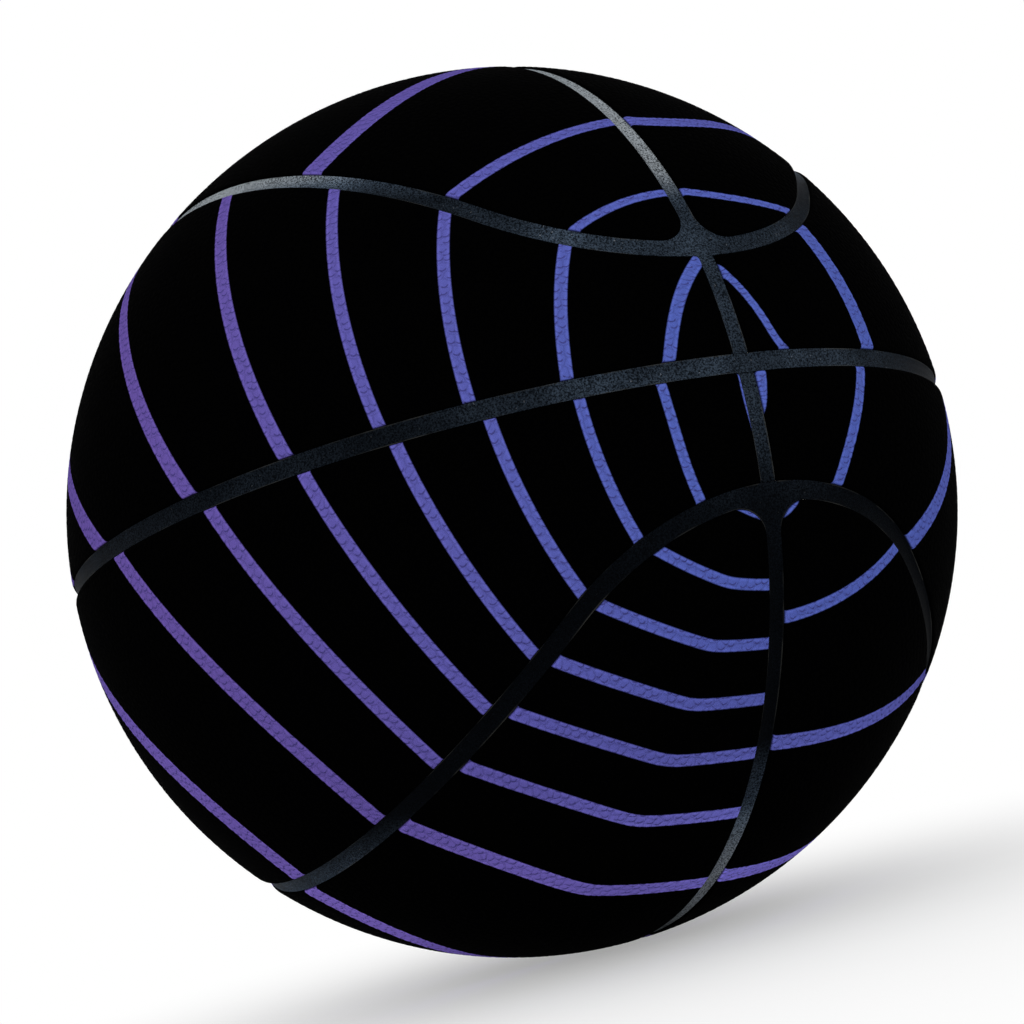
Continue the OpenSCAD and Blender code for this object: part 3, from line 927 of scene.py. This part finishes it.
def strip_material():
    """Nearly black stippled rubber. Speckled painted sheen and highlight lighten it towards the ball's top and
    bottom; it is also lighter round its front, with a painted highlight at one spot there, and a fine lighter line
    runs along the edges."""
    f = settings().finish
    _, tree, shader = new_material("stippled_rubber", 0.6, 0.006)
    where = object_place(tree)
    at = axes(tree, where)
    beside = maths(tree, "ABSOLUTE", at["X"])
    # Painted sheen and highlight: the channels are made lighter towards the ball's top and towards its bottom.
    top, under = (ramp(tree, maths(tree, "MULTIPLY_ADD", beside, less, at["Z"]), start, full, 0.0, amount)
                  for less, start, full, amount in (PAINTED_SHEEN_TOP, PAINTED_SHEEN_UNDER))
    # Lighter round the front, with a painted highlight at one close spot.
    front_lightening = times(tree, spot(tree, where, *LIGHTER_FRONT), ramp(tree, at["Z"], *LIGHTER_FRONT_FADE))
    front_lightening = larger(tree, front_lightening, spot(tree, where, *PAINTED_HIGHLIGHT_SPOT))
    dust_and_sheen_amount = larger(tree, larger(tree, top, under), front_lightening)
    dots = use_group(tree, "Rubber Stipple", Vector=where, Settled=dust_and_sheen_amount)
    base = blend(tree, times(tree, dots["Dots"], 0.6), f.strip, f.strip_dots)
    base = blend(tree, dots["Dust And Sheen"], base, blend(tree, ramp(tree, dust_and_sheen_amount, 0.25, 0.85), f.film, f.dust_and_sheen))
    base = blend(tree, dots["Specks"], base, (0.5, 0.52, 0.55))
    # A lighter line along the strips' edges, in patches.
    edge_line = times(tree, ramp(tree, attribute(tree, "strip_edge", "Fac"), 0.00012, 0.0004, 1.0, 0.0),
                 ramp(tree, noise(tree, where, 90.0, 3.0), 0.45, 0.7, 0.0, 0.5))
    surface(tree, shader, blend(tree, edge_line, base, (0.05, 0.05, 0.045)),
            maths(tree, "MULTIPLY_ADD", dots["Dots"], -0.1, 0.6), bump(tree, dots["Dots"], 0.00005, 0.8))


def valve_material():
    """Soft matt rubber with fine moulding grain."""
    _, tree, shader = new_material("moulded_rubber", 0.55, 0.35)
    where = object_place(tree)
    fine, broad = noise(tree, where, 2400.0, 3.0), noise(tree, where, 300.0, 2.0)
    surface(tree, shader, blend(tree, ramp(tree, broad, 0.3, 0.7), settings().finish.valve, (0.036, 0.036, 0.04)),
            maths(tree, "MULTIPLY_ADD", fine, 0.2, 0.45), bump(tree, fine, 0.00004, 0.6))


def inner_material(name, low, high, scale, depth, roughness, wound=False):
    """Plain material of a hidden layer: two tones that a noise, or wound thread, mixes."""
    m, tree, shader = new_material(name, roughness, 0.3)
    where = object_place(tree)
    if wound:
        wave = tree.nodes.new("ShaderNodeTexWave")
        value = fill(tree, wave, Vector=where, Scale=scale, Distortion=6.0, Detail=2.0, Detail_Scale=0.4)["Fac"]
    else:
        value = noise(tree, where, scale, 4.0, 0.6)
    surface(tree, shader, blend(tree, value, low, high), maths(tree, "MULTIPLY_ADD", value, 0.15, roughness),
            bump(tree, value, depth))
    return m


# Operators

# The middle of a cap and of a band panel, in degrees above the centre channel, and the seed of each one's first.
CAP_MIDDLE, BAND_MIDDLE, CAP_SEED, BAND_SEED = 67, 23, 1, 5
RING_STEPS, RING_SECTION, BRIDGE_GRID, VALVE_STEPS = 1440, 21, (20, 80), 96


class BASKETBALL_OT_materials(bpy.types.Operator):
    """Make the shader groups and the materials of the outer pieces"""
    bl_idname = "basketball.materials"
    bl_label = "Materials"

    def execute(self, context):
        for make in (pebble_group, ring_group, stipple_group, cover_material, strip_material, valve_material):
            make()
        return {"FINISHED"}


class BASKETBALL_OT_cap_panels(bpy.types.Operator):
    """Make the four pebbled cap panels inside the loops"""
    bl_idname = "basketball.cap_panels"
    bl_label = "Cap Panels"

    def execute(self, context):
        seams = Seams()
        form = panel_form("cap_form", seams.cap, seams.cap_circles())
        dress_sides("cap", CAP_MIDDLE, CAP_SEED, (form, seams.cap))
        return {"FINISHED"}


class BASKETBALL_OT_band_panels(bpy.types.Operator):
    """Make the four pebbled band panels between the loops and the centre channel, one with the valve's hole"""
    bl_idname = "basketball.band_panels"
    bl_label = "Band Panels"

    def execute(self, context):
        seams = Seams()
        circles = seams.band_circles()
        plain = panel_form("band_form", seams.band, circles)
        pierced = panel_form("valve_band_form", seams.valve_band, circles + [(seams.to_valve, seams.valve)])
        dress_sides("band", BAND_MIDDLE, BAND_SEED, (plain, seams.band), (pierced, seams.valve_band))
        return {"FINISHED"}


class BASKETBALL_OT_channel_strips(bpy.types.Operator):
    """Make the channel strips: the centre ring, the two loops and the four bridges"""
    bl_idname = "basketball.channel_strips"
    bl_label = "Channel Strips"

    def execute(self, context):
        size, seams = settings().sizes, Seams()
        self.centre_ring(size, seams)
        form = cut_patch("loop_form", size.carcass, seams.loop_strip, seams.loop_circles())
        thicken(form, size.carcass, size.strip)
        hollow(form, seams)
        for z, level in ((1, "upper"), (-1, "lower")):
            self.finish(mirrored(form, level + "_loop_strip", z=z), level + "_loop_channel")
        bpy.data.objects.remove(form)
        self.bridges(size, seams)
        return {"FINISHED"}

    def finish(self, obj, node):
        finish_piece(obj, "stippled_rubber", node)

    def centre_ring(self, size, seams):
        """A hollowed strip section, spun round the ball."""
        half = seams.centre - seams.glue
        points = [(size.strip, t * half) for t in np.linspace(-1, 1, RING_SECTION)]
        points += [(size.carcass, half), (size.carcass, -half)]
        section = [(r * math.cos(a), 0, r * math.sin(a)) for r, a in points]
        obj = spun("centre_strip", section, (0, 0, 1), RING_STEPS)
        hollow(obj, seams)
        self.finish(obj, "centre_channel")

    def bridges(self, size, seams):
        """A curved bar, cut from a fine grid and wrapped on the ball."""
        s = settings().seams
        half = s.cross_w / 2 * size.carcass / size.ball - s.glue
        low = math.asin(s.centre_w / 2 / size.carcass)
        deselect()
        bpy.ops.mesh.primitive_grid_add(x_subdivisions=BRIDGE_GRID[0], y_subdivisions=BRIDGE_GRID[1], size=2)
        form = named("bridge_form")
        u = coordinates(form)
        a = u[:, 0] * half / size.carcass
        # The top edge follows the loop's outline, where it crosses this angle.
        loop_edge = np.arccos(np.clip(math.cos(seams.tip + seams.loop) / np.cos(a), -1, 1))
        top = math.asin(seams.to_tip[2]) - loop_edge
        e = low + (u[:, 1] + 1) / 2 * (top - low)
        d = np.stack([np.sin(a), -np.cos(a) * np.cos(e), np.cos(a) * np.sin(e)], 1)
        place(form, d * size.carcass)
        thicken(form, size.carcass, size.strip)
        hollow(form, seams)
        for y, end in ((1, "front"), (-1, "back")):
            for z, level in ((1, "upper"), (-1, "lower")):
                name = f"{level}_{end}_bridge"
                self.finish(mirrored(form, name + "_strip", y=y, z=z), name)
        bpy.data.objects.remove(form)


class BASKETBALL_OT_valve(bpy.types.Operator):
    """Make the valve: the housing with its neck and flange, and the plug with the needle's hole"""
    bl_idname = "basketball.valve"
    bl_label = "Valve"

    def execute(self, context):
        axis = Vector(Seams().to_valve)
        side = axis.orthogonal().normalized()
        for name, section, closed, node in (("valve_neck", self.housing(), True, "valve_housing"),
                                            ("valve_insert", self.plug(), False, "valve_plug")):
            points = [side * r + axis * h for r, h in section]
            finish_piece(spun(name, points, axis, VALVE_STEPS, closed), "moulded_rubber", node, 40)
        return {"FINISHED"}

    # Sections are points of a radius round the valve's axis and a height from the ball's centre.
    SHOULDER = 0.1172

    def rounded(self, corner_r, corner_h, dr, lip):
        """Points of a rounded corner below its height, from the side of dr to the top."""
        return [(corner_r + dr * lip * (1 - math.sin(t)), corner_h - lip * (1 - math.cos(t)))
                for t in np.linspace(0, math.pi / 2, 6)]

    def housing(self):
        v = settings().valve
        bore = v.plug_r + 0.00005
        foot, bulb_floor, pocket_top = 0.10485, 0.10645, 0.11255
        bulb_r, foot_r, pocket_r, chamfer = 0.00545, 0.0051, 0.00385, 0.0004
        # The flange's faces lie round the ball's centre: a radius, and the angles from the neck or the bulb.
        faces = (0.1151, np.linspace(0.034, 0.1219, 12)), (0.1141, np.linspace(0.1229, 0.0478, 12))
        section = self.rounded(bore, v.face, 1, v.lip)[::-1] + self.rounded(v.neck_r, v.face, -1, v.lip)
        section += [(v.neck_r, self.SHOULDER)]
        section += [(r * math.sin(a), r * math.cos(a)) for r, angles in faces for a in angles]
        section += [(bulb_r, foot + chamfer), (foot_r, foot), (v.needle_r, foot), (v.needle_r, bulb_floor)]
        return section + [(pocket_r, bulb_floor), (pocket_r, pocket_top), (bore, pocket_top), (bore, self.SHOULDER)]

    def plug(self):
        v = settings().valve
        foot, head, foot_r, head_r, chamfer = 0.1065, 0.1125, 0.0035, 0.0038, 0.0003
        hole_end, hole_tip, tip_step = 0.1096, 0.1095, 0.0002
        funnel, funnel_r, funnel_drop = 0.0004, 0.00055, 0.00002
        section = [(0, foot), (foot_r, foot), (head_r, foot + chamfer), (head_r, head - chamfer), (foot_r, head)]
        section += [(v.plug_r, head), (v.plug_r, self.SHOULDER)]
        section += self.rounded(v.plug_r, v.face, -1, v.lip)[::-1] + [(v.needle_r + funnel_r, v.face - funnel_drop)]
        section += self.rounded(v.needle_r, v.face - 0.00005, 1, funnel) + [(v.needle_r, self.SHOULDER)]
        return section + [(v.needle_r, hole_end), (v.needle_r - tip_step, hole_tip), (0, hole_tip)]


# Each hidden layer's two tones, the scale and the depth in metres of its grain, its roughness, and whether its
# grain is wound thread.
INNER_LAYERS = {
    "bladder_rubber": ((0.02, 0.02, 0.023), (0.04, 0.04, 0.045), 140.0, 0.00005, 0.45),
    "carcass_rubber": ((0.012, 0.012, 0.013), (0.025, 0.025, 0.027), 260.0, 0.00008, 0.6),
    "wound_thread": ((0.55, 0.53, 0.48), (0.8, 0.78, 0.72), 260.0, 0.0002, 0.6, True),
    "foam_backing": ((0.6, 0.56, 0.48), (0.74, 0.70, 0.62), 900.0, 0.00015, 0.8),
}
LAYER_NODES = {"bladder": "bladder_rubber", "carcass": "carcass_rubber", "thread_winding": "wound_thread"}


class BASKETBALL_OT_inner_layers(bpy.types.Operator):
    """Give the hidden layers inside the ball their materials"""
    bl_idname = "basketball.inner_layers"
    bl_label = "Inner Layers"

    def execute(self, context):
        made = {name: inner_material(name, *look) for name, look in INNER_LAYERS.items()}
        for name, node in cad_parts.items():
            layer = "foam_backing" if name.endswith("_backing") else LAYER_NODES.get(name)
            if layer:
                node.data.materials.clear()
                node.data.materials.append(made[layer])
        return {"FINISHED"}


# Each lamp's place, width and power.
LAMPS = {
    "overhead_lamp": ((-0.35, -0.25, 1.0), 0.9, 1.2),
    "left_lamp": ((-1.0, -0.7, 0.45), 0.8, 1.2),
    "low_lamp": ((-0.5, -1.0, 0.0), 0.9, 4.2),
    "right_lamp": ((0.9, -0.7, 0.1), 0.8, 1.0),
}
FLOOR_SIZE, FLOOR_GAP, SHADOW_REACH, SHADOW_LIGHTEN, SURROUND = 8, 0.0002, 0.3, 0.35, 0.85
LENS, SENSOR, CAMERA_DISTANCE = 54.175, 36, 0.43136
CAMERA_RIGHT, CAMERA_UP = (0.88039, -0.41235, -0.23425), (0.12931, -0.26652, 0.95512)


class BASKETBALL_OT_stage(bpy.types.Operator):
    """Make the floor, the surround, the lamps and the camera"""
    bl_idname = "basketball.stage"
    bl_label = "Stage"

    def execute(self, context):
        self.floor()
        self.surround()
        for name, (at, width, power) in LAMPS.items():
            lamp = bpy.data.lights.new(name, "AREA")
            lamp.size = width
            lamp.energy = power
            obj = in_scene(name, lamp)
            obj.location = at
            obj.rotation_euler = (-Vector(at)).to_track_quat("-Z", "Y").to_euler()
        self.camera()
        bpy.context.scene.view_settings.view_transform = "Standard"
        return {"FINISHED"}

    def floor(self):
        """A pale floor that looks white from the camera, and darker only in the ball's shadow."""
        bottom = -settings().sizes.ball
        deselect()
        bpy.ops.mesh.primitive_plane_add(size=FLOOR_SIZE, location=(0, 0, 0))
        obj = named("floor")
        co = coordinates(obj)
        co[:, 2] = bottom - FLOOR_GAP
        place(obj, co)
        m, tree, shader = new_material("pale_floor", 0.9, 0.0)
        where = object_place(tree)
        fading = spot(tree, where, (0, 0, bottom), 0.0, SHADOW_REACH, SHADOW_LIGHTEN, 1.0)
        grain = noise(tree, where, 40.0, 3.0)
        tree.links.new(blend(tree, grain, (0.86, 0.86, 0.86), (0.9, 0.9, 0.9)), shader.inputs["Base Color"])
        mix = tree.nodes.new("ShaderNodeMixShader")
        tree.links.new(times(tree, seen(tree), fading), mix.inputs["Fac"])
        tree.links.new(shader.outputs["BSDF"], mix.inputs[1])
        tree.links.new(tree.nodes.new("ShaderNodeEmission").outputs["Emission"], mix.inputs[2])
        tree.links.new(mix.outputs["Shader"], tree.nodes["Material Output"].inputs["Surface"])
        obj.data.materials.append(m)

    def surround(self):
        world = bpy.data.worlds.new("pale_surround")
        bpy.context.scene.world = world
        world.use_nodes = True
        tree = world.node_tree
        back = tree.nodes["Background"]
        back.inputs["Color"].default_value = (1, 1, 1, 1)
        tree.links.new(ramp(tree, seen(tree), 0.0, 1.0, SURROUND, 1.0), back.inputs["Strength"])

    def camera(self):
        """At the photograph's viewing angle: just below the ball's middle, to the left of its front."""
        data = bpy.data.cameras.new("photo_camera")
        data.lens = LENS
        data.sensor_width = SENSOR
        obj = in_scene("photo_camera", data)
        right, up = Vector(CAMERA_RIGHT), Vector(CAMERA_UP)
        back = right.cross(up).normalized()
        up = back.cross(right).normalized()
        right.normalize()
        at = back * CAMERA_DISTANCE
        obj.matrix_world = Matrix([(right[i], up[i], back[i], at[i]) for i in range(3)] + [(0, 0, 0, 1)])
        bpy.context.scene.camera = obj


class BASKETBALL_PT_panel(bpy.types.Panel):
    """The ball's pieces and sizes"""
    bl_idname = "BASKETBALL_PT_panel"
    bl_label = "Basketball"
    bl_space_type = "VIEW_3D"
    bl_region_type = "UI"
    bl_category = "Basketball"

    def draw(self, context):
        for operator in OPERATORS:
            self.layout.operator(operator.bl_idname)
        for group in BallSettings.__annotations__:
            box = self.layout.box()
            box.label(text=group.title())
            values = getattr(context.scene.basketball, group)
            for key in values.__annotations__:
                box.prop(values, key)


OPERATORS = (BASKETBALL_OT_materials, BASKETBALL_OT_cap_panels, BASKETBALL_OT_band_panels,
             BASKETBALL_OT_channel_strips, BASKETBALL_OT_valve, BASKETBALL_OT_inner_layers, BASKETBALL_OT_stage)
CLASSES = (BallSizes, SeamAngles, ValveSizes, Finish, Rings, BallSettings) + OPERATORS + (BASKETBALL_PT_panel,)


def register():
    for c in CLASSES:
        bpy.utils.register_class(c)
    bpy.types.Scene.basketball = PointerProperty(type=BallSettings)


def unregister():
    del bpy.types.Scene.basketball
    for c in reversed(CLASSES):
        bpy.utils.unregister_class(c)


def main():
    register()
    bpy.ops.basketball.materials()
    bpy.ops.basketball.cap_panels()
    bpy.ops.basketball.band_panels()
    bpy.ops.basketball.channel_strips()
    bpy.ops.basketball.valve()
    bpy.ops.basketball.inner_layers()
    bpy.ops.basketball.stage()


if __name__ == "__main__":
    main()
